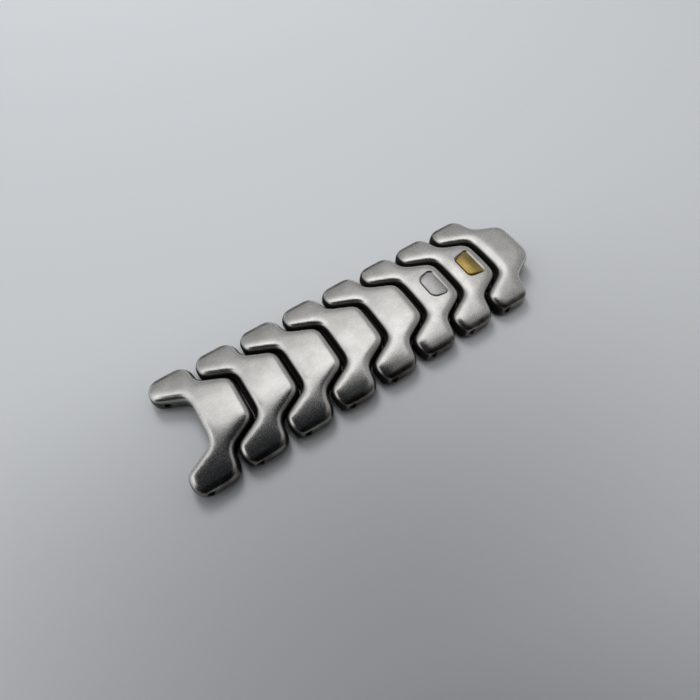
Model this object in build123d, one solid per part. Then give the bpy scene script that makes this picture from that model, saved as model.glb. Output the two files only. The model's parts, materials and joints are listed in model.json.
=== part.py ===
"""Strip of eight watch bracelet links, joined in a row by pins and collars.

The strip lies flat along X, dome side up. The open forks point to -X and the tongues to +X.
The origin is the middle of the underside. Lengths are in millimetres.
"""
from build123d import *
from math import cos, radians, sqrt, tan
import os

# The row
link_count = 8
pitch = 7.7
strip_width = 20.0
thickness = 3.7
pin_height = 1.25

# Link outline, seen from above: reaches from the pins, and rounded corners
tongue_reach = 2.25
tongue_slant_degrees = 26.0
lug_reach = 1.95
lug_tip_width = 3.8
web_back = 3.0
lug_front_inner = 5.25
lug_front_outer = 4.9
fork_clearance = 0.3
tongue_corner_radius = 1.9
tongue_root_radius = 1.9
lug_front_corner_radius = 2.2
lug_tip_outer_radius = 2.0
lug_tip_inner_radius = 1.6
fork_corner_radius = 1.8

# Link cross section
crown_drop = 0.75
shoulder_start = 8.0
side_band_height = 2.2
side_chamfer = 0.45
rim_radius = 1.0
underside_chamfer = 0.45

# Hinge pin and its collar
pin_radius = 0.55
pin_end_recess = 0.4
pin_end_chamfer = 0.15
lug_hole_clearance = 0.03
hole_mouth_chamfer = 0.12
tongue_hole_clearance = 0.05
collar_wall = 0.25
collar_length = 4.4
collar_grip = 0.01
collar_clearance = 0.05
collar_end_clearance = 0.1
collar_edge_chamfer = 0.06

# Inlay plates, each set in the tongue of one link
inlay_links = {"steel_inlay": 6, "gold_inlay": 7}
steel_inlay_recess = 0.12
gold_inlay_recess = 0.05
inlay_back = 5.5
inlay_length = 2.7
inlay_back_width = 4.0
inlay_front_width = 5.2
inlay_corner_radius = 0.5
inlay_pocket_depth = 0.8
inlay_fit_clearance = 0.04
inlay_edge_chamfer = 0.1
inlay_mouth_chamfer = 0.2

# How far a cut runs past what it cuts, and how near two places are to count as one
overrun = 1.0
same_place = 0.001

half_width = strip_width / 2
slant = tan(radians(tongue_slant_degrees))
slanted_clearance = fork_clearance / cos(radians(tongue_slant_degrees))
tongue_end_half_width = half_width - lug_tip_width - slanted_clearance - slant * (lug_reach + tongue_reach)
strip_length = lug_reach + link_count * pitch + tongue_reach
first_pin_x = lug_reach - strip_length / 2
lug_hole_radius = pin_radius + lug_hole_clearance
tongue_hole_radius = pin_radius + tongue_hole_clearance
pin_length = strip_width - 2 * pin_end_recess
collar_radius = pin_radius + collar_wall
collar_pocket_radius = collar_radius + collar_clearance
collar_pocket_end = collar_length / 2 + collar_end_clearance
inlay_floor = thickness - inlay_pocket_depth
inlay_recesses = {"steel_inlay": steel_inlay_recess, "gold_inlay": gold_inlay_recess}


def tongue_half_width(x):
    """Half the tongue's width, at a distance x in front of its pin."""
    return tongue_end_half_width + slant * (tongue_reach - x)


def fork_half_width(x):
    """Half the fork's opening, at a distance x in front of its pin."""
    return tongue_half_width(x) + slanted_clearance


def mirrored_face(corners):
    """Closed face, mirrored about the X axis, from corners given as x, y and corner radius."""
    far_side = [(x, y) for x, y, radius in corners]
    near_side = [(x, -y) for x, y in reversed(far_side)]
    face = make_face(Polyline(*far_side, *near_side, close=True))
    for x, y, radius in corners:
        pair = (Vector(x, y), Vector(x, -y))
        found = [v for v in face.vertices() if min((Vector(v) - place).length for place in pair) < same_place]
        face = fillet(found, radius)
    return face


def link_outline():
    """Plan outline of a link whose fork's pin is at x = 0 and tongue's pin at x = pitch."""
    return mirrored_face([
        (pitch + tongue_reach, tongue_end_half_width, tongue_corner_radius),
        (lug_front_inner, tongue_half_width(lug_front_inner - pitch), tongue_root_radius),
        (lug_front_outer, half_width, lug_front_corner_radius),
        (-lug_reach, half_width, lug_tip_outer_radius),
        (-lug_reach, fork_half_width(-lug_reach), lug_tip_inner_radius),
        (web_back, fork_half_width(web_back), fork_corner_radius),
    ])


def dome_face():
    """Cross section of the row: flat underside, chamfered side bands, shoulders and crown."""
    shoulder_height = thickness - crown_drop
    crown = ThreePointArc((-shoulder_start, shoulder_height), (0, thickness), (shoulder_start, shoulder_height))
    shoulder = TangentArc(crown @ 1, (half_width, side_band_height), tangent=crown % 1)
    side = Polyline((half_width, side_band_height), (half_width, side_chamfer), (half_width - side_chamfer, 0))
    half = [shoulder, side]
    underside = Line((side_chamfer - half_width, 0), (half_width - side_chamfer, 0))
    return make_face([crown, underside, *half, *[mirror(line, about=Plane.YZ) for line in half]])


def dome():
    """The row's cross section, run along one link."""
    back = Plane.YZ.offset(-lug_reach - overrun)
    return extrude(back * dome_face(), pitch + lug_reach + tongue_reach + 2 * overrun)


def side_face():
    """Side view of a link: its lug tips and tongue end are rounded about their pins underneath."""
    lug_foot = -sqrt(lug_reach ** 2 - pin_height ** 2)
    tongue_foot = pitch + sqrt(tongue_reach ** 2 - pin_height ** 2)
    back, front = -lug_reach, pitch + tongue_reach
    back_round = TangentArc((back, pin_height), (lug_foot, 0), tangent=(0, -1))
    front_round = TangentArc((front, pin_height), (tongue_foot, 0), tangent=(0, -1))
    top = Polyline((back, pin_height), (back, thickness), (front, thickness), (front, pin_height))
    return make_face([back_round, Line((lug_foot, 0), (tongue_foot, 0)), front_round, top])


def rim_edges(body, outline):
    """The edges where a link's domed top meets its walls."""
    domed = [face for face in body.faces() if face.normal_at().Z > same_place and face.center().Z > side_band_height]
    walls = outline.edges()
    rim = []
    for edge in ShapeList(edge for face in domed for edge in face.edges()):
        middle = edge @ 0.5
        if min(wall.distance_to(Vertex(middle.X, middle.Y, 0)) for wall in walls) < same_place:
            rim.append(edge)
    return rim


def cross_rod(x, radius, start, end):
    """Cylinder across the row at the pins' height, from y = start to y = end."""
    plane = Plane((x, start, pin_height), x_dir=(1, 0, 0), z_dir=(0, 1, 0))
    return extrude(plane * Circle(radius), end - start)


def hole_mouths(body):
    """The edges where the lugs' pin hole opens, on both sides of each lug."""
    mouths = []
    for edge in body.edges():
        box = edge.bounding_box()
        on_axis = abs(box.center().X) < pin_radius / 2 and abs(box.center().Z - pin_height) < pin_radius / 2
        if on_axis and pin_radius < box.size.Z < 2 * collar_radius:
            mouths.append(edge)
    return mouths


def plain_link():
    """One link at the origin: domed body, rounded rim, pin holes and the collar's pocket."""
    outline = link_outline()
    side = extrude(Plane.XZ * side_face(), half_width + overrun, both=True)
    block = extrude(outline, thickness + overrun)
    block = chamfer(block.edges().group_by(Axis.Z)[0], underside_chamfer)
    body = block & dome() & side
    body = fillet(rim_edges(body, outline), rim_radius)
    far_end = half_width + overrun
    body -= cross_rod(0, lug_hole_radius, -far_end, far_end)
    body = chamfer(hole_mouths(body), hole_mouth_chamfer)
    body -= cross_rod(pitch, tongue_hole_radius, -far_end, far_end)
    body -= cross_rod(pitch, collar_pocket_radius, -far_end, collar_pocket_end)
    return body


def inlay_outline(margin):
    """Outline of an inlay plate, grown by a margin on all sides."""
    front = inlay_back + inlay_length
    corners = [
        (front, inlay_front_width / 2, inlay_corner_radius),
        (inlay_back, inlay_back_width / 2, inlay_corner_radius),
    ]
    face = mirrored_face(corners)
    return offset(face, margin) if margin else face


def inlaid_link(link):
    """A link with the pocket that takes an inlay plate, its mouth chamfered."""
    outline = inlay_outline(inlay_fit_clearance)
    body = link - extrude(Plane.XY.offset(inlay_floor) * outline, inlay_pocket_depth + overrun)
    mouth = [edge for edge in rim_edges(body, outline) if (edge @ 0.5).Z > inlay_floor + same_place]
    return chamfer(mouth, inlay_mouth_chamfer)


def inlay_plate(recess):
    """An inlay plate seated in its pocket, its face following the crown a recess below it."""
    block = extrude(Plane.XY.offset(inlay_floor) * inlay_outline(0), inlay_pocket_depth)
    plate = block & Pos(0, 0, -recess) * dome()
    top_face = plate.faces().sort_by(Axis.Z)[-1]
    return chamfer(top_face.edges(), inlay_edge_chamfer)


def hinge_pin():
    """A pin across the row, with chamfered ends."""
    pin = cross_rod(0, pin_radius, -pin_length / 2, pin_length / 2)
    return chamfer(pin.edges().filter_by(GeomType.CIRCLE), pin_end_chamfer)


def pin_collar():
    """The tube that grips a pin inside a tongue."""
    outside = cross_rod(0, collar_radius, -collar_length / 2, collar_length / 2)
    outside = chamfer(outside.edges().filter_by(GeomType.CIRCLE), collar_edge_chamfer)
    return outside - cross_rod(0, pin_radius - collar_grip, -collar_length, collar_length)


def write(name, shape, x):
    """Put a piece in its place along the row and write its file."""
    placed = Pos(x, 0, 0) * shape
    export_step(placed.solid() or placed, f"parts/{name}.step")


os.makedirs("parts", exist_ok=True)
link, pin, collar = plain_link(), hinge_pin(), pin_collar()
inlay_of = {number: name for name, number in inlay_links.items()}
for number in range(1, link_count + 1):
    link_x = first_pin_x + (number - 1) * pitch
    if number in inlay_of:
        name = inlay_of[number]
        write(f"link_{number}", inlaid_link(link), link_x)
        write(name, inlay_plate(inlay_recesses[name]), link_x)
    else:
        write(f"link_{number}", link, link_x)
    if number < link_count:
        write(f"hinge_pin_{number}", pin, link_x + pitch)
        write(f"pin_collar_{number}", collar, link_x + pitch)
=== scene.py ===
"""Looks of a strip of eight satin steel watch bracelet links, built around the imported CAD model.

Everything is in metres, in the CAD model's own place: the row runs along X, open fork at -X, dome up.
"""
import bmesh
import bpy
import json
from math import radians
from mathutils import Euler, Matrix, Vector


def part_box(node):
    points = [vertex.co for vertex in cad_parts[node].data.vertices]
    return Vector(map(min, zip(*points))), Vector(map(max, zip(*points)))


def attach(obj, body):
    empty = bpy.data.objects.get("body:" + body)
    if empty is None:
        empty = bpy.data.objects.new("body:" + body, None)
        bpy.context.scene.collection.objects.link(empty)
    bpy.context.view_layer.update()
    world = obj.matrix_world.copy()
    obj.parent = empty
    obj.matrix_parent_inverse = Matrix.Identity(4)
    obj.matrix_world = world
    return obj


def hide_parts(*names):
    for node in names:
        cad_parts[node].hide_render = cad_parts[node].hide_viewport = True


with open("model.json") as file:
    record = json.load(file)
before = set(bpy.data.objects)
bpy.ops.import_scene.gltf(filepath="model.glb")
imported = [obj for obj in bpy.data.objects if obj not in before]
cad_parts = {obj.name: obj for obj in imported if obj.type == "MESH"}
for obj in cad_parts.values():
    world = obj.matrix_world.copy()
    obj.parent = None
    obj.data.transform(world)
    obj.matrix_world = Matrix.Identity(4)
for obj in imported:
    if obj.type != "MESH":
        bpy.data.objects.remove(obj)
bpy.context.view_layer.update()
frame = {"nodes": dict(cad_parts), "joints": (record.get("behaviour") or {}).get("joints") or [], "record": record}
MM = 0.001

# The row
LINKS = [f"link_{number}" for number in range(1, 9)]
PINS = [f"hinge_pin_{number}" for number in range(1, 8)]
COLLARS = [f"pin_collar_{number}" for number in range(1, 8)]
BODY_OF = {node: body for body, nodes in frame["record"]["behaviour"]["bodies"].items() for node in nodes}
PIN_HEIGHT = frame["joints"][0]["pos_m"][2]
LUG_REACH = 1.95 * MM
FORK_PIN_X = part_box(LINKS[0])[0].x + LUG_REACH
LINK_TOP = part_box(LINKS[0])[1].z

# The dome across the strip: a shallow crown, and shoulders that fall faster
SHOULDER_START = 8.0 * MM
CROWN_DROP = 0.75 * MM
SHOULDER_BEND = 0.094 / MM

# Tumbled links: how finely their skin is rebuilt, and where and how long it is rubbed down
SKIN_GRID = 0.1 * MM
MERGE_DISTANCE = 0.0001 * MM
RUB_DEPTHS = (1.5 * MM, 0.75 * MM)
RUB_SIDES = (9.98 * MM, 9.0 * MM)
RUB_SIDE_SHARE = 0.35
RUB_PASSES = 340
LIGHT_RUB_PASSES = 4
RUB_FACTOR = 0.5
SKIN_CREASE_DEGREES = 38

# The lugs' pin hole is closed before the skin is rebuilt, and drilled again after it
PLUG_RADIUS = 0.7 * MM
PLUG_REACH = (5.75 * MM, 9.85 * MM)
PLUG_STEPS = 32
LUG_HOLE_RADIUS = 0.62 * MM
LUG_HOLE_MOUTH = 0.16 * MM

# A dark fill under a tongue's end, against the web, that stands in for the shade in the gap there: parts of rings round
# the pin, from an angle below it and through another.
# Each is given by its inner radius, the middle of its width and its width.
SHADE_FILL_RINGS = (
    (2.55 * MM, 0, 8.4 * MM),
    (2.28 * MM, -4.0 * MM, 1.2 * MM), (2.28 * MM, 4.0 * MM, 1.2 * MM),
    (2.05 * MM, -4.2 * MM, 0.8 * MM), (2.05 * MM, 4.2 * MM, 0.8 * MM),
    (1.6 * MM, -4.4 * MM, 0.5 * MM), (1.6 * MM, 4.4 * MM, 0.5 * MM),
    (1.15 * MM, -4.65 * MM, 0.4 * MM), (1.15 * MM, 4.65 * MM, 0.4 * MM))
SHADE_FILL_OUTSIDE = 3.2 * MM
SHADE_FILL_DEGREES = (22.5, -34)
SHADE_FILL_STEPS = 12

# Painted shade and dirt where a skin is sheltered: below the dome, inside the strip's own sides and above its underside
SHADE_AND_DIRT_DEPTHS = (0.22 * MM, 0.95 * MM)
SHADE_AND_DIRT_SIDES = (9.85 * MM, 9.3 * MM)
SHADE_AND_DIRT_FEET = (0, 0.03 * MM)
# Less painted shade and dirt at the strip's two free ends
OPEN_END_SHADE_AND_DIRT = 0.35
OPEN_END_REACH = 4.5 * MM

# Inlay plates and the pockets that hold them. The cuts, in shares of a plate's half width, let it follow the crown.
LINK_OF = {"steel_inlay": "link_6", "gold_inlay": "link_7"}
PLATE_FRONT_HALF = 2.6 * MM
PLATE_BACK_HALF = 2.0 * MM
PLATE_CORNERS = {"steel_inlay": 0.85 * MM, "gold_inlay": 0.5 * MM}
PLATE_CORNER_STEPS = 6
PLATE_BEVELS = {"steel_inlay": 0.14 * MM, "gold_inlay": 0.2 * MM}
PLATE_BEVEL_STEPS = 2
PLATE_CUTS = (0.2, 0.4, 0.6)
PLATE_EDGE_DEGREES = 30
PLATE_FLAT_NORMAL = 0.97
PLATE_SMOOTH_DEGREES = 50
POCKET_CLEARANCE = 0.1 * MM
POCKET_DEPTH = 0.8 * MM
POCKET_BEVEL = 0.26 * MM
POCKET_CLEAR_ABOVE = 0.1 * MM

# Pins and collars. A pin's end is given as steps in from its side and back from its end, in shares of its rounding.
PIN_RADIUS = 0.55 * MM
PIN_END_ROUND = 0.15 * MM
PIN_END_PROFILE = ((2, 0), (1, 0.12), (0.3, 0.5), (0, 1.4))
COLLAR_RADIUS = 0.8 * MM
COLLAR_END_ROUND = 0.06 * MM
TURNED_STEPS = 64
TURNED_SMOOTH_DEGREES = 40


def new_piece(name, bm):
    """Turns a bmesh into an object in the scene."""
    mesh = bpy.data.meshes.new(name)
    bm.to_mesh(mesh)
    bm.free()
    piece = bpy.data.objects.new(name, mesh)
    bpy.context.scene.collection.objects.link(piece)
    return piece


def shell_copy(name, node):
    """A closed copy of a CAD node's mesh, as an object of its own."""
    bm = bmesh.new()
    bm.from_mesh(frame["nodes"][node].data)
    bmesh.ops.remove_doubles(bm, verts=bm.verts, dist=MERGE_DISTANCE)
    return new_piece(name, bm)


def settle(piece):
    """Applies a piece's modifiers to its mesh."""
    depsgraph = bpy.context.evaluated_depsgraph_get()
    mesh = bpy.data.meshes.new_from_object(piece.evaluated_get(depsgraph))
    piece.modifiers.clear()
    piece.data = mesh


def smooth_by_angle(piece, degrees):
    """Smooth shading that stays crisp on edges sharper than an angle."""
    for face in piece.data.polygons:
        face.use_smooth = True
    piece.data.set_sharp_from_angle(angle=radians(degrees))


def grade(value, start, end):
    """0 at start, 1 at end, and a soft curve between."""
    share = min(max((value - start) / (end - start), 0), 1)
    return share * share * (3 - 2 * share)


def rub(piece, passes, group=""):
    """Smooths a skin, all over or by a vertex group's weights."""
    smooth = piece.modifiers.new("rub", "SMOOTH")
    smooth.factor = RUB_FACTOR
    smooth.iterations = passes
    smooth.vertex_group = group
    settle(piece)


def cut(piece, cutter):
    """Takes a cutter's shape out of a piece, and the cutter out of the scene."""
    boolean = piece.modifiers.new("cut", "BOOLEAN")
    boolean.operation = "DIFFERENCE"
    boolean.solver = "EXACT"
    boolean.object = cutter
    settle(piece)
    bpy.data.objects.remove(cutter)


def turned(name, x, profile):
    """A closed solid turned about a line across the row at the pins' height. The profile gives radius and y."""
    bm = bmesh.new()
    verts = [bm.verts.new((0, y, radius)) for radius, y in profile]
    for first, second in zip(verts, verts[1:]):
        bm.edges.new((first, second))
    bmesh.ops.spin(bm, geom=bm.verts[:] + bm.edges[:], cent=(0, 0, 0), axis=(0, 1, 0), angle=radians(360),
                   steps=TURNED_STEPS, use_merge=True)
    bmesh.ops.remove_doubles(bm, verts=bm.verts, dist=MERGE_DISTANCE)
    bmesh.ops.recalc_face_normals(bm, faces=bm.faces)
    bmesh.ops.translate(bm, verts=bm.verts, vec=(x, 0, PIN_HEIGHT))
    piece = new_piece(name, bm)
    smooth_by_angle(piece, TURNED_SMOOTH_DEGREES)
    return piece


def lug_hole_cutter():
    """The drill for the first link's pin hole, flared where it comes out of each lug."""
    low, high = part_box(LINKS[0])
    out, r, flare = high.y + MM, LUG_HOLE_RADIUS, LUG_HOLE_MOUTH
    half = [(0, out), (r + flare + MM, out), (r + flare, high.y), (r, high.y - flare)]
    return turned("lug_hole_cutter", FORK_PIN_X, half + [(radius, -y) for radius, y in reversed(half)])


def dome_height(y):
    """How high the dome stands at a place across the strip."""
    crown, shoulder = min(abs(y), SHOULDER_START), max(abs(y) - SHOULDER_START, 0)
    slope = 2 * CROWN_DROP / SHOULDER_START
    return LINK_TOP - CROWN_DROP * (crown / SHOULDER_START) ** 2 - slope * shoulder - SHOULDER_BEND * shoulder ** 2


def mark_shade_and_dirt(piece):
    """Writes how sheltered each point of a skin is, from 0 on the dome to 1 deep in a gap: the mask for painted shade
    and dirt.
    """
    shade_and_dirt = piece.data.attributes.new("shade_and_dirt", "FLOAT", "POINT")
    for vert in piece.data.vertices:
        x, y, z = vert.co
        inside = grade(abs(y), *SHADE_AND_DIRT_SIDES) * grade(z, *SHADE_AND_DIRT_FEET)
        shade_and_dirt.data[vert.index].value = grade(dome_height(y) - z, *SHADE_AND_DIRT_DEPTHS) * inside


def add_at_fork_pin(piece, bm):
    """Moves a bmesh from the origin to the first link's fork pin, and joins it to a piece."""
    bmesh.ops.translate(bm, vec=(FORK_PIN_X, 0, PIN_HEIGHT), verts=bm.verts)
    bm.from_mesh(piece.data)
    bm.to_mesh(piece.data)
    bm.free()


def plug_lug_holes(piece):
    """Closes the lugs' pin hole with a rod in each lug."""
    start, end = PLUG_REACH
    bm = bmesh.new()
    for way in (-1, 1):
        rod = bmesh.ops.create_cone(bm, cap_ends=True, segments=PLUG_STEPS, radius1=PLUG_RADIUS, radius2=PLUG_RADIUS,
                                    depth=end - start)["verts"]
        bmesh.ops.rotate(bm, cent=(0, 0, 0), matrix=Matrix.Rotation(radians(90), 3, "X"), verts=rod)
        bmesh.ops.translate(bm, vec=(0, way * (start + end) / 2, 0), verts=rod)
    add_at_fork_pin(piece, bm)


def shade_fill_ring(inner, middle, width):
    """Part of a ring of the dark fill that stands in for shade, round a pin at the origin, as a mesh."""
    start, turn = (radians(degrees) for degrees in SHADE_FILL_DEGREES)
    ring = bmesh.new()
    bmesh.ops.create_grid(ring, x_segments=1, y_segments=1, size=0.5)
    bmesh.ops.scale(ring, vec=(SHADE_FILL_OUTSIDE - inner, width, 1), verts=ring.verts)
    bmesh.ops.translate(ring, vec=((SHADE_FILL_OUTSIDE + inner) / 2, middle, 0), verts=ring.verts)
    bmesh.ops.rotate(ring, cent=(0, 0, 0), matrix=Matrix.Rotation(start, 3, "Y"), verts=ring.verts)
    bmesh.ops.spin(ring, geom=ring.faces[:], cent=(0, 0, 0), axis=(0, 1, 0), angle=turn, steps=SHADE_FILL_STEPS)
    bmesh.ops.recalc_face_normals(ring, faces=ring.faces)
    mesh = bpy.data.meshes.new("shade_fill")
    ring.to_mesh(mesh)
    ring.free()
    return mesh


def add_shade_fill(piece):
    """Adds a dark fill against the web under a tongue's end, which closes the gap there from below and stands in for
    its shade.
    """
    bm = bmesh.new()
    for inner, middle, width in SHADE_FILL_RINGS:
        bm.from_mesh(shade_fill_ring(inner, middle, width))
    add_at_fork_pin(piece, bm)


def mark_worn(piece):
    """A vertex group that weighs how a skin is rubbed: fully on the dome, less on the strip's sides, not low down."""
    worn = piece.vertex_groups.new(name="worn")
    for vert in piece.data.vertices:
        depth = dome_height(vert.co.y) - vert.co.z
        side = RUB_SIDE_SHARE + (1 - RUB_SIDE_SHARE) * grade(abs(vert.co.y), *RUB_SIDES)
        worn.add([vert.index], grade(depth, *RUB_DEPTHS) * side, "REPLACE")


def tumbled_link(with_shade_fill):
    """A link at the first one's place, its skin rebuilt in fine faces and its domed top rubbed soft."""
    piece = shell_copy("link_skin", LINKS[0])
    plug_lug_holes(piece)
    # The dark fill that stands in for the shade in the gap under a tongue's end
    if with_shade_fill:
        add_shade_fill(piece)
    remesh = piece.modifiers.new("fine skin", "REMESH")
    remesh.mode = "VOXEL"
    remesh.voxel_size = SKIN_GRID
    settle(piece)
    rub(piece, LIGHT_RUB_PASSES)
    mark_worn(piece)
    rub(piece, RUB_PASSES, "worn")
    piece.vertex_groups.clear()
    cut(piece, lug_hole_cutter())
    mark_shade_and_dirt(piece)
    return piece


def open_end(mesh, start, way):
    """Lessens the painted shade and dirt at a free end of the strip, from an x onwards in one direction."""
    shade_and_dirt = mesh.attributes["shade_and_dirt"]
    for vert in mesh.vertices:
        if (vert.co.x - start) * way > 0:
            shade_and_dirt.data[vert.index].value *= OPEN_END_SHADE_AND_DIRT


def place_links():
    """Puts a tumbled link over each CAD link. The first one's fork is open, so no dark shade fill is put in it."""
    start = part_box(LINKS[0])[0].x
    skins = {with_shade_fill: tumbled_link(with_shade_fill) for with_shade_fill in (False, True)}
    pieces = {}
    for node in LINKS:
        mesh = skins[node != LINKS[0]].data.copy()
        mesh.transform(Matrix.Translation((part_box(node)[0].x - start, 0, 0)))
        pieces[node] = bpy.data.objects.new(f"{node}_tumbled", mesh)
        bpy.context.scene.collection.objects.link(pieces[node])
    for skin in skins.values():
        bpy.data.objects.remove(skin)
    open_end(pieces[LINKS[0]].data, FORK_PIN_X + OPEN_END_REACH, -1)
    open_end(pieces[LINKS[-1]].data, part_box(LINKS[-1])[1].x - OPEN_END_REACH, 1)
    return pieces


def plate_outline(bm, node, margin, height):
    """A plate's rounded four-sided outline at a height, grown by a margin, as one face that looks down."""
    low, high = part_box(node)
    front, back = PLATE_FRONT_HALF + margin, PLATE_BACK_HALF + margin
    corners = [(high.x + margin, front), (high.x + margin, -front), (low.x - margin, -back), (low.x - margin, back)]
    face = bm.faces.new([bm.verts.new((x, y, height)) for x, y in corners])
    bmesh.ops.bevel(bm, geom=face.verts[:], offset=PLATE_CORNERS[node] + margin, offset_type="OFFSET",
                    segments=PLATE_CORNER_STEPS, profile=0.5, affect="VERTICES", material=-1)
    bm.faces.ensure_lookup_table()
    return bm.faces[0]


def sunk(bm, face, depth):
    """Extrudes a face that looks down by a depth, and returns the face at the new end."""
    made = bmesh.ops.extrude_face_region(bm, geom=[face])["geom"]
    bmesh.ops.translate(bm, verts=[item for item in made if isinstance(item, bmesh.types.BMVert)], vec=(0, 0, -depth))
    return next(item for item in made if isinstance(item, bmesh.types.BMFace))


def pocket_cutter(node):
    """The mill for a plate's pocket: straight walls and a bevelled mouth, marked for painted shade and dirt below the
    mouth.
    """
    bm = bmesh.new()
    mouth = POCKET_CLEARANCE + POCKET_BEVEL + POCKET_CLEAR_ABOVE
    face = plate_outline(bm, node, mouth, LINK_TOP + MM)
    face = sunk(bm, face, MM - POCKET_CLEAR_ABOVE)
    bmesh.ops.inset_individual(bm, faces=[face], thickness=mouth - POCKET_CLEARANCE, depth=mouth - POCKET_CLEARANCE,
                               use_even_offset=True)
    sunk(bm, face, POCKET_DEPTH - POCKET_BEVEL)
    bmesh.ops.delete(bm, geom=[face], context="FACES_ONLY")
    bmesh.ops.recalc_face_normals(bm, faces=bm.faces)
    # Painted shade and dirt on the pocket's walls below the mouth
    shade_and_dirt = bm.verts.layers.float.new("shade_and_dirt")
    for vert in bm.verts:
        vert[shade_and_dirt] = grade(vert.co.z, LINK_TOP, LINK_TOP - POCKET_BEVEL)
    return new_piece("pocket_cutter", bm)


def inlay_plate(node):
    """A plate crowned as the dome is, with bevelled edges, to lie in its pocket."""
    bm = bmesh.new()
    low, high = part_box(node)
    middle = (low.z + high.z) / 2
    sunk(bm, plate_outline(bm, node, 0, high.z), high.z - low.z)
    bmesh.ops.recalc_face_normals(bm, faces=bm.faces)
    for share in PLATE_CUTS:
        for way in (-1, 1):
            bmesh.ops.bisect_plane(bm, geom=bm.verts[:] + bm.edges[:] + bm.faces[:],
                                   plane_co=(0, way * share * high.y, 0), plane_no=(0, 1, 0))
    for vert in bm.verts:
        if vert.co.z > middle:
            vert.co.z -= LINK_TOP - dome_height(vert.co.y)
    rim = [edge for edge in bm.edges if min(vert.co.z for vert in edge.verts) > middle
           and edge.calc_face_angle(0) > radians(PLATE_EDGE_DEGREES)]
    bmesh.ops.bevel(bm, geom=rim, offset=PLATE_BEVELS[node], offset_type="OFFSET", segments=PLATE_BEVEL_STEPS,
                    profile=0.5, affect="EDGES", material=-1)
    bm.normal_update()
    for face in bm.faces:
        face.material_index = 0 if face.normal.z > PLATE_FLAT_NORMAL else 1
    piece = new_piece(f"{node}_plate", bm)
    smooth_by_angle(piece, PLATE_SMOOTH_DEGREES)
    return piece


def hinge_pin(node):
    """A drawn pin with softly turned ends."""
    low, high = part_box(node)
    half = [(0, high.y)] + [(PIN_RADIUS - inset * PIN_END_ROUND, high.y - back * PIN_END_ROUND)
                            for inset, back in PIN_END_PROFILE]
    profile = half + [(radius, -y) for radius, y in reversed(half)]
    return turned(f"{node}_turned", (low.x + high.x) / 2, profile)


def pin_collar(node):
    """The drawn tube round a pin."""
    low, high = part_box(node)
    end, inner, outer, c = high.y, PIN_RADIUS, COLLAR_RADIUS, COLLAR_END_ROUND
    profile = [(inner, end - c), (inner + c, end), (outer - c, end), (outer, end - c),
               (outer, c - end), (outer - c, -end), (inner + c, -end), (inner, c - end), (inner, end - c)]
    return turned(f"{node}_drawn", (low.x + high.x) / 2, profile)


# Patterns in the metal, each with its scale, detail and roughness
CLOUDS = (330, 5, 0.65)
GRAIN = (5200, 4, 0.75)
HAIRS = (6500, 3, 0.7)
DENTS = (800, 3, 0.55)
HAIR_STRETCH = (0.1, 1, 1)

# How the patterns tone and roughen it: a range of the pattern, and in the rows of four what that becomes
CLOUD_TONE = (0.3, 0.7, 0, 1)
CLOUD_PATCHES = (0.35, 0.65, 0.6, 1)
GRAIN_TONE = (0.3, 0.6)
HAIR_TONE = (0.3, 0.7)
HAIR_SHADE = 0.16
GRAIN_ROUGHNESS = (0.3, 0.7)
SMOOTHER, ROUGHER = 0.02, 0.03

# How the patterns stand out. A finish's own streak and pits set how strongly hairs and dents do.
GRAIN_STRENGTH = 0.03
HAIR_STRENGTH = 0.4
GRAIN_DEPTH = 0.0012 * MM
HAIR_DEPTH = 0.0004 * MM
DENT_DEPTH = 0.003 * MM

# Tarnish and painted shade low down and on the strip's sides, painted shade and dirt where a skin is sheltered, and on
# a pin inside the links
TARNISH_AND_SHADE = (0.075, 0.058, 0.040)
TARNISH_AND_SHADE_HEIGHTS = (2.6 * MM, 2.15 * MM)
TARNISH_AND_SHADE_SIDES = (8.7 * MM, 9.4 * MM)
SHADE_AND_DIRT_COLOUR = (0.012, 0.011, 0.010)
SHADE_AND_DIRT_COVER = (0.0, 0.75, 0, 0.98)
SHADE_AND_DIRT_METAL = (0.2, 0.9, 1, 0)
SHADE_AND_DIRT_ROUGHNESS = 0.5
SHADE_AND_DIRT_SPECULAR = 0.15
PIN_SHADE_AND_DIRT_SIDES = (9.5 * MM, 9.3 * MM)
BLACK = (0, 0, 0)


def shader(name, colour, roughness, metallic=1.0):
    """A new material, and its principled shader with a colour, a roughness and a share of metal."""
    material = bpy.data.materials.new(name)
    material.use_nodes = True
    bsdf = material.node_tree.nodes["Principled BSDF"]
    bsdf.inputs["Base Color"].default_value = (*colour, 1)
    bsdf.inputs["Roughness"].default_value = roughness
    bsdf.inputs["Metallic"].default_value = metallic
    return material, bsdf


def add_node(tree, kind, inputs=None, **settings):
    """A new shader node with its settings, and its inputs linked or set."""
    made = tree.nodes.new(kind)
    for key, value in settings.items():
        setattr(made, key, value)
    for key, value in (inputs or {}).items():
        if isinstance(value, bpy.types.NodeSocket):
            tree.links.new(value, made.inputs[key])
        else:
            made.inputs[key].default_value = value
    return made


def ramp(tree, value, start, end, low, high):
    """A value taken softly from one range to another."""
    inputs = {"Value": value, "From Min": start, "From Max": end, "To Min": low, "To Max": high}
    return add_node(tree, "ShaderNodeMapRange", inputs, interpolation_type="SMOOTHSTEP").outputs["Result"]


def blend(tree, share, first, second):
    """A colour between two others."""
    first, second = (colour if isinstance(colour, bpy.types.NodeSocket) else (*colour, 1) for colour in (first, second))
    inputs = {"Factor": share, "A": first, "B": second}
    return add_node(tree, "ShaderNodeMix", inputs, data_type="RGBA").outputs["Result"]


def maths(tree, operation, *values):
    """What an operation makes of one or two values."""
    return add_node(tree, "ShaderNodeMath", dict(enumerate(values)), operation=operation).outputs[0]


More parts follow.
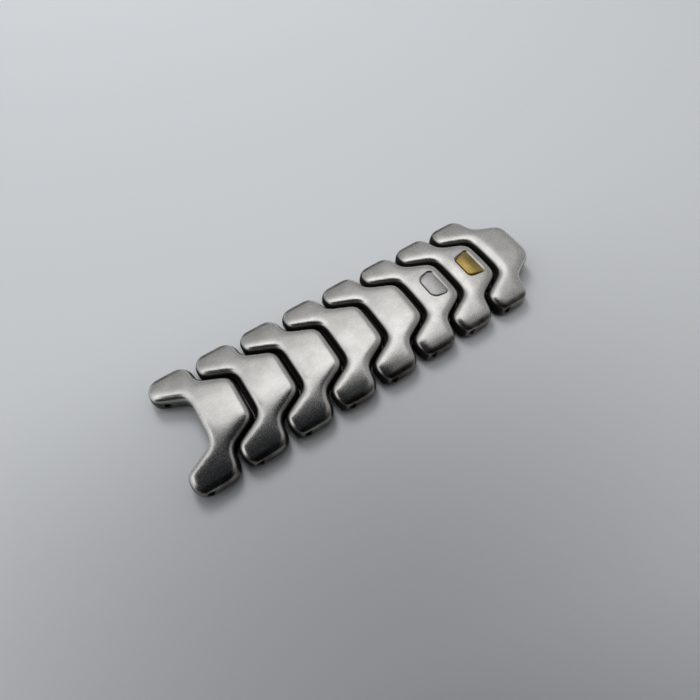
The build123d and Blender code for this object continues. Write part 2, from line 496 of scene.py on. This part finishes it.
def noise(tree, place, scale, detail, roughness):
    """A cloudy pattern, as a value."""
    inputs = {"Vector": place, "Scale": scale, "Detail": detail, "Roughness": roughness}
    return add_node(tree, "ShaderNodeTexNoise", inputs).outputs["Fac"]


def bump(tree, strength, depth, height, below=None):
    """A normal that follows a pattern, on top of another normal where one is given."""
    inputs = {"Strength": strength, "Distance": depth, "Height": height}
    if below is not None:
        inputs["Normal"] = below
    return add_node(tree, "ShaderNodeBump", inputs).outputs["Normal"]


def satin_metal(name, light, dark, roughness, streak=0.5, speckle=0.06, pits=0.15, shade_and_dirt_at=None):
    """Satin metal: cloudy tone, fine grain, hairlines along the strip, small dents, and painted shade: with dirt where
    it is sheltered, and with tarnish low down and on the strip's sides.
    """
    material, bsdf = shader(name, light, roughness)
    tree = material.node_tree
    place = add_node(tree, "ShaderNodeTexCoord").outputs["Object"]
    along = add_node(tree, "ShaderNodeMapping", {"Vector": place, "Scale": HAIR_STRETCH}).outputs["Vector"]
    clouds = noise(tree, place, *CLOUDS)
    grain = noise(tree, place, *GRAIN)
    hairs = noise(tree, along, *HAIRS)
    dents = noise(tree, place, *DENTS)
    tone = blend(tree, ramp(tree, clouds, *CLOUD_TONE), dark, light)
    tone = blend(tree, ramp(tree, grain, *GRAIN_TONE, speckle, 0), tone, BLACK)
    tone = blend(tree, ramp(tree, hairs, *HAIR_TONE, streak * HAIR_SHADE, 0), tone, BLACK)
    rough = ramp(tree, grain, *GRAIN_ROUGHNESS, roughness - SMOOTHER, roughness + ROUGHER)
    if shade_and_dirt_at:
        parts = add_node(tree, "ShaderNodeSeparateXYZ", {"Vector": place}).outputs
        across = maths(tree, "ABSOLUTE", parts["Y"])
        if shade_and_dirt_at == "in the gaps":
            shade_and_dirt = add_node(tree, "ShaderNodeAttribute", attribute_name="shade_and_dirt").outputs["Fac"]
        else:
            shade_and_dirt = ramp(tree, across, *PIN_SHADE_AND_DIRT_SIDES, 0, 1)
        patchy = ramp(tree, clouds, *CLOUD_PATCHES)
        # Painted shade with tarnish: brownish low down and on the strip's sides
        low = ramp(tree, parts["Z"], *TARNISH_AND_SHADE_HEIGHTS, 0, 1)
        outside = ramp(tree, across, *TARNISH_AND_SHADE_SIDES, 0, 1)
        tarnished_and_shaded = maths(tree, "MULTIPLY", maths(tree, "MAXIMUM", low, outside), patchy)
        tone = blend(tree, tarnished_and_shaded, tone, TARNISH_AND_SHADE)
        # Painted shade and dirt where sheltered: near black, rougher, less metallic and less shiny
        tone = blend(tree, ramp(tree, shade_and_dirt, *SHADE_AND_DIRT_COVER), tone, SHADE_AND_DIRT_COLOUR)
        rough = maths(tree, "ADD", rough, maths(tree, "MULTIPLY", shade_and_dirt, SHADE_AND_DIRT_ROUGHNESS))
        tree.links.new(ramp(tree, shade_and_dirt, *SHADE_AND_DIRT_METAL), bsdf.inputs["Metallic"])
        bsdf.inputs["Specular IOR Level"].default_value = SHADE_AND_DIRT_SPECULAR
    tree.links.new(tone, bsdf.inputs["Base Color"])
    tree.links.new(rough, bsdf.inputs["Roughness"])
    fine = bump(tree, GRAIN_STRENGTH, GRAIN_DEPTH, grain)
    lined = bump(tree, HAIR_STRENGTH * streak, HAIR_DEPTH, hairs, fine)
    dented = bump(tree, pits, DENT_DEPTH, dents, lined)
    tree.links.new(dented, bsdf.inputs["Normal"])
    return material


def finish(piece, node_name, *materials):
    """Gives a piece its materials, and lets it stand for its CAD node on that node's body."""
    piece.data.materials.clear()
    for material in materials:
        piece.data.materials.append(material)
    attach(piece, BODY_OF[node_name])
    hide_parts(node_name)


link_steel = satin_metal("link satin steel", (0.76, 0.753, 0.735), (0.62, 0.614, 0.60), 0.25, shade_and_dirt_at="in the gaps")
pin_steel = satin_metal("pin drawn steel", (0.42, 0.41, 0.39), (0.34, 0.33, 0.31), 0.3, shade_and_dirt_at="inside")
collar_steel = satin_metal("collar drawn steel", (0.46, 0.45, 0.43), (0.38, 0.37, 0.35), 0.35, shade_and_dirt_at="inside")
plate_metals = {
    "steel_inlay": (
        satin_metal("inlay blasted steel", (0.70, 0.70, 0.70), (0.58, 0.58, 0.58), 0.45,
                    streak=0.1, speckle=0.35, pits=0.5),
        satin_metal("inlay steel bevel", (0.72, 0.72, 0.71), (0.60, 0.60, 0.59), 0.2, streak=0.1)),
    # The gold bevel is painted much lighter than the plate's top: polish and a painted highlight
    "gold_inlay": (
        satin_metal("inlay gold", (0.56, 0.41, 0.13), (0.38, 0.275, 0.085), 0.32,
                    streak=0.1, speckle=0.4, pits=1.0),
        satin_metal("inlay gold bevel painted highlight", (0.92, 0.72, 0.30), (0.80, 0.61, 0.24), 0.26, streak=0.1))}

links = place_links()
for name, link in LINK_OF.items():
    cut(links[link], pocket_cutter(name))
for name, piece in links.items():
    smooth_by_angle(piece, SKIN_CREASE_DEGREES)
    finish(piece, name, link_steel)
for name in PINS:
    finish(hinge_pin(name), name, pin_steel)
for name in COLLARS:
    finish(pin_collar(name), name, collar_steel)
for name, metals in plate_metals.items():
    finish(inlay_plate(name), name, *metals)

# Camera: the photograph's view, with 440 pixels of focal length on a picture 700 wide
CAMERA_PLACE = (-20.3713 * MM, -29.0928 * MM, 63.4513 * MM)
CAMERA_TURN = (radians(27.468), radians(0.499), radians(-33.1611))
SENSOR = 36
LENS = 440 * SENSOR / 700
CAMERA_NEAR = MM
CAMERA_FAR = 10

# Table
FLOOR_SIZE = 4
FLOOR_COLOUR = (0.78, 0.81, 0.85)
FLOOR_ROUGHNESS = 0.6

# Light by direction, each row a range of x, y or z and the brightness there: a soft box on the far side, a dimmer
# wall to the right and a dark rest. The camera sees an even backdrop instead.
BOX_NEAR_EDGE = (-0.22, 0.04, 0, 1)
BOX_RIGHT_EDGE = (0.42, 0.66, 1, 0)
BOX_FAR_FADE = (0.22, 0.88, 1.34, 0.34)
BOX_LEFT_FADE = (-1.0, -0.5, 0.6, 1)
WALL_RISE = (0.0, 0.6, 0.01, 0.36)
WALL_NEAR_FADE = (-0.95, -0.1, 0.2, 1)
DARK_REST = (0, 1, 0.008, 0.018)
BACKDROP = 0.5
LIGHT_COLOUR = (1.0, 0.995, 0.985)

# Fill light, and the black card over the near side
FILL_PLACE = (0.05, 0.30, 0.30)
FILL_AIM = (0, 0, 0)
FILL_SIZE = 0.15
FILL_POWER = 0.5
CARD_EDGE = ((-0.044, 0.0158), (0.008, -0.0007))
CARD_HEIGHT = 0.055
CARD_SIZE = (0.09, 0.16)
CARD_COLOUR = (0.014, 0.019, 0.023)
CARD_ROUGHNESS = 0.9


def table_top():
    """The pale table under the strip."""
    bm = bmesh.new()
    bmesh.ops.create_grid(bm, x_segments=1, y_segments=1, size=FLOOR_SIZE)
    floor = new_piece("table_top", bm)
    floor.data.materials.append(shader("pale table", FLOOR_COLOUR, FLOOR_ROUGHNESS, 0.0)[0])


def studio():
    """The light from all round: soft box, wall and dark rest, and a pale backdrop for the camera."""
    world = bpy.data.worlds.new("studio")
    bpy.context.scene.world = world
    world.use_nodes = True
    tree = world.node_tree
    direction = add_node(tree, "ShaderNodeTexCoord").outputs["Generated"]
    part = add_node(tree, "ShaderNodeSeparateXYZ", {"Vector": direction}).outputs
    x, y, z = part["X"], part["Y"], part["Z"]
    box = maths(tree, "MULTIPLY", ramp(tree, y, *BOX_NEAR_EDGE), ramp(tree, x, *BOX_RIGHT_EDGE))
    fade = maths(tree, "MULTIPLY", ramp(tree, y, *BOX_FAR_FADE), ramp(tree, x, *BOX_LEFT_FADE))
    box = maths(tree, "MULTIPLY", box, fade)
    wall = maths(tree, "MULTIPLY", ramp(tree, x, *WALL_RISE), ramp(tree, y, *WALL_NEAR_FADE))
    light = maths(tree, "MAXIMUM", box, wall)
    light = maths(tree, "MAXIMUM", light, ramp(tree, z, *DARK_REST))
    seen = add_node(tree, "ShaderNodeLightPath").outputs["Is Camera Ray"]
    inputs = {"Factor": seen, "A": light, "B": BACKDROP}
    shown = add_node(tree, "ShaderNodeMix", inputs, data_type="FLOAT").outputs["Result"]
    tree.links.new(shown, tree.nodes["Background"].inputs["Strength"])
    tree.nodes["Background"].inputs["Color"].default_value = (*LIGHT_COLOUR, 1)


def black_card():
    """A black card over the near side, which darkens the near lugs and the near table. No camera sees it."""
    bm = bmesh.new()
    bmesh.ops.create_grid(bm, x_segments=1, y_segments=1, size=0.5)
    bmesh.ops.scale(bm, vec=(*CARD_SIZE, 1), verts=bm.verts)
    bmesh.ops.translate(bm, vec=(0, -CARD_SIZE[1] / 2, 0), verts=bm.verts)
    start, end = (Vector((*point, CARD_HEIGHT)) for point in CARD_EDGE)
    turn = (end - start).to_track_quat("X", "Z").to_matrix()
    bmesh.ops.rotate(bm, cent=(0, 0, 0), matrix=turn, verts=bm.verts)
    bmesh.ops.translate(bm, vec=(start + end) / 2, verts=bm.verts)
    card = new_piece("black_card", bm)
    card.data.materials.append(shader("black card", CARD_COLOUR, CARD_ROUGHNESS, 0.0)[0])
    card.visible_camera = False


def camera():
    """The photograph's view."""
    data = bpy.data.cameras.new("view")
    data.sensor_width = SENSOR
    data.lens = LENS
    data.clip_start = CAMERA_NEAR
    data.clip_end = CAMERA_FAR
    made = bpy.data.objects.new("view", data)
    bpy.context.scene.collection.objects.link(made)
    made.location = CAMERA_PLACE
    made.rotation_euler = Euler(CAMERA_TURN)
    bpy.context.scene.camera = made


def fill_light():
    """A near soft light on the far side that brightens the far table and throws soft shadows to the near side."""
    data = bpy.data.lights.new("fill", "AREA")
    data.shape = "DISK"
    data.size = FILL_SIZE
    data.energy = FILL_POWER
    made = bpy.data.objects.new("fill", data)
    bpy.context.scene.collection.objects.link(made)
    made.location = FILL_PLACE
    made.rotation_euler = (Vector(FILL_AIM) - made.location).to_track_quat("-Z", "Y").to_euler()
    made.visible_glossy = False


table_top()
studio()
fill_light()
black_card()
camera()
bpy.context.scene.view_settings.view_transform = "Standard"
